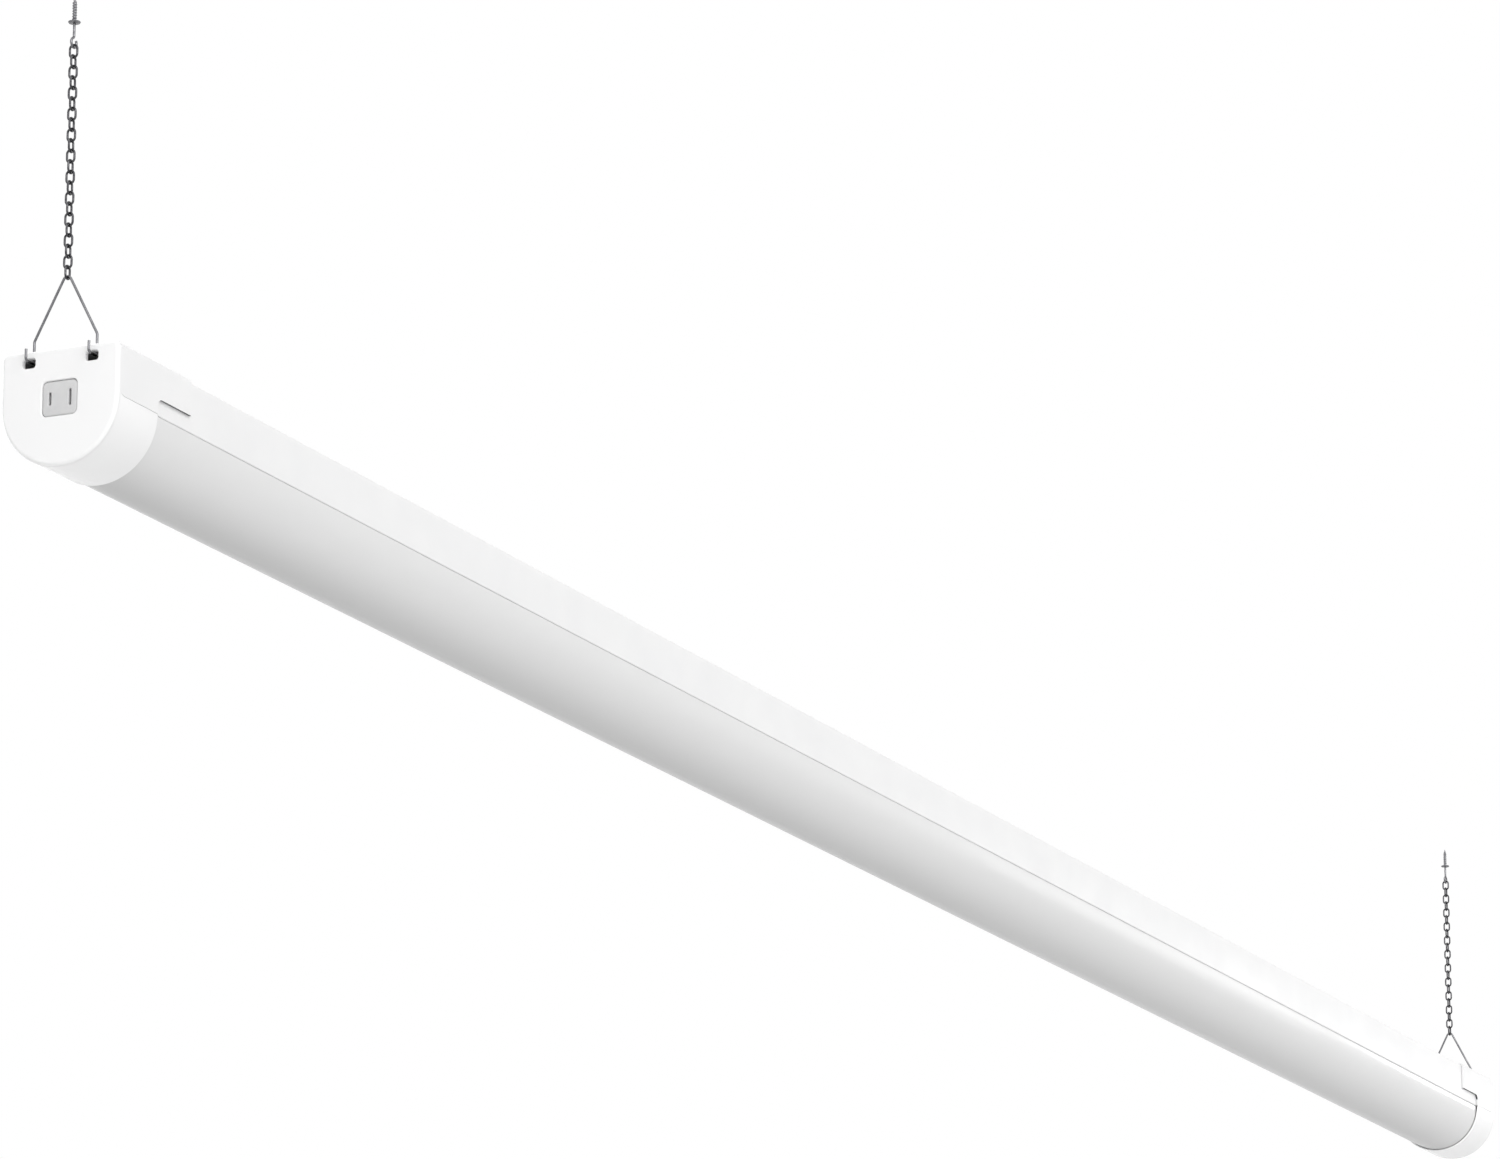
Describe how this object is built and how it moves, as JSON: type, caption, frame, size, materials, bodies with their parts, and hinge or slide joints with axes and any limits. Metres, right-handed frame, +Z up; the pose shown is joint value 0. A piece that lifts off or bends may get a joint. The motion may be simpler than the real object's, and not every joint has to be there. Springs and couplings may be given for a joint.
{
  "type": "hanging shop light",
  "caption": "Long white shop light with a half-round frosted lens, moulded end caps with an outlet, hung by wire hangers and short chains from ceiling screw hooks.",
  "frame": {"origin": "in the ceiling plane, midway between the threads of the two screw hooks", "axes": "+Z up along the hooks' threads, X along the lamp with its outlet end at -X, Y across it"},
  "size_m": [2.4464, 0.074, 0.2759],
  "materials": {
    "hook_steel": "zinc plated",
    "chain_nickel": "dull nickel plate",
    "hanger_steel": "bright zinc wire",
    "white_paint": "satin white powder coat",
    "frosted_lens": "frosted polycarbonate",
    "white_cap": "gloss moulded plastic",
    "grey_socket": "moulded grey plastic",
    "contact_brass": "bright",
    "tray_paint": "gloss white reflector paint",
    "board_white": "white solder mask",
    "led_phosphor": "phosphor gel",
    "driver_black": "moulded",
    "board_green": "solder mask",
    "ferrite": "ferrite and tape",
    "capacitor_sleeve": "shrink sleeve",
    "wire_black": "insulation",
    "wire_white": "insulation",
    "screw_steel": "zinc plated"
  },
  "bodies": {
    "ceiling_hooks": {"ceiling_hook_near": "hook_steel", "ceiling_hook_far": "hook_steel"},
    "near_top_link": {"chain_near_top_link": "chain_nickel"},
    "near_chain": {"chain_near_links": "chain_nickel", "hanger_near": "hanger_steel"},
    "far_top_link": {"chain_far_top_link": "chain_nickel"},
    "far_chain": {"chain_far_links": "chain_nickel", "hanger_far": "hanger_steel"},
    "lamp": {"housing": "white_paint", "end_sleeve_near": "white_paint", "end_sleeve_far": "white_paint", "lens": "frosted_lens", "end_cap_near": "white_cap", "end_cap_far": "white_cap", "outlet_body": "grey_socket", "inlet_body": "grey_socket", "outlet_contact_live": "contact_brass", "outlet_contact_neutral": "contact_brass", "inlet_blade_live": "contact_brass", "inlet_blade_neutral": "contact_brass", "led_tray": "tray_paint", "led_board_left": "board_white", "led_board_right": "board_white", "led_chips": "led_phosphor", "driver_case": "driver_black", "driver_board": "board_green", "driver_transformer": "ferrite", "driver_capacitor": "capacitor_sleeve", "wire_live": "wire_black", "wire_neutral": "wire_white", "sleeve_screws": "screw_steel"}
  },
  "joints": [
    {"name": "near_sway", "type": "hinge", "parent": "ceiling_hooks", "child": "near_top_link", "pos_m": [-1.2135, 0, -0.0154], "axis": [1, 0, 0], "range_deg": [-20, 20]},
    {"name": "near_swing", "type": "hinge", "parent": "near_top_link", "child": "near_chain", "pos_m": [-1.2135, 0, -0.02147], "axis": [0, 1, 0], "range_deg": [-8, 8]},
    {"name": "lamp_level", "type": "hinge", "parent": "near_chain", "child": "lamp", "pos_m": [-1.2135, 0, -0.1988], "axis": [0, 1, 0], "range_deg": [-8, 8]},
    {"name": "far_sway", "type": "hinge", "parent": "ceiling_hooks", "child": "far_top_link", "pos_m": [1.2135, 0, -0.0154], "axis": [1, 0, 0], "range_deg": [-20, 20]},
    {"name": "far_swing", "type": "hinge", "parent": "far_top_link", "child": "far_chain", "pos_m": [1.2135, 0, -0.02147], "axis": [0, 1, 0], "range_deg": [-8, 8]}
  ],
  "couplings": [
    {"joint": "lamp_level", "follows": "near_swing", "ratio": -1},
    {"joint": "far_swing", "follows": "near_swing", "ratio": 1},
    {"joint": "far_sway", "follows": "near_sway", "ratio": 1}
  ]
}
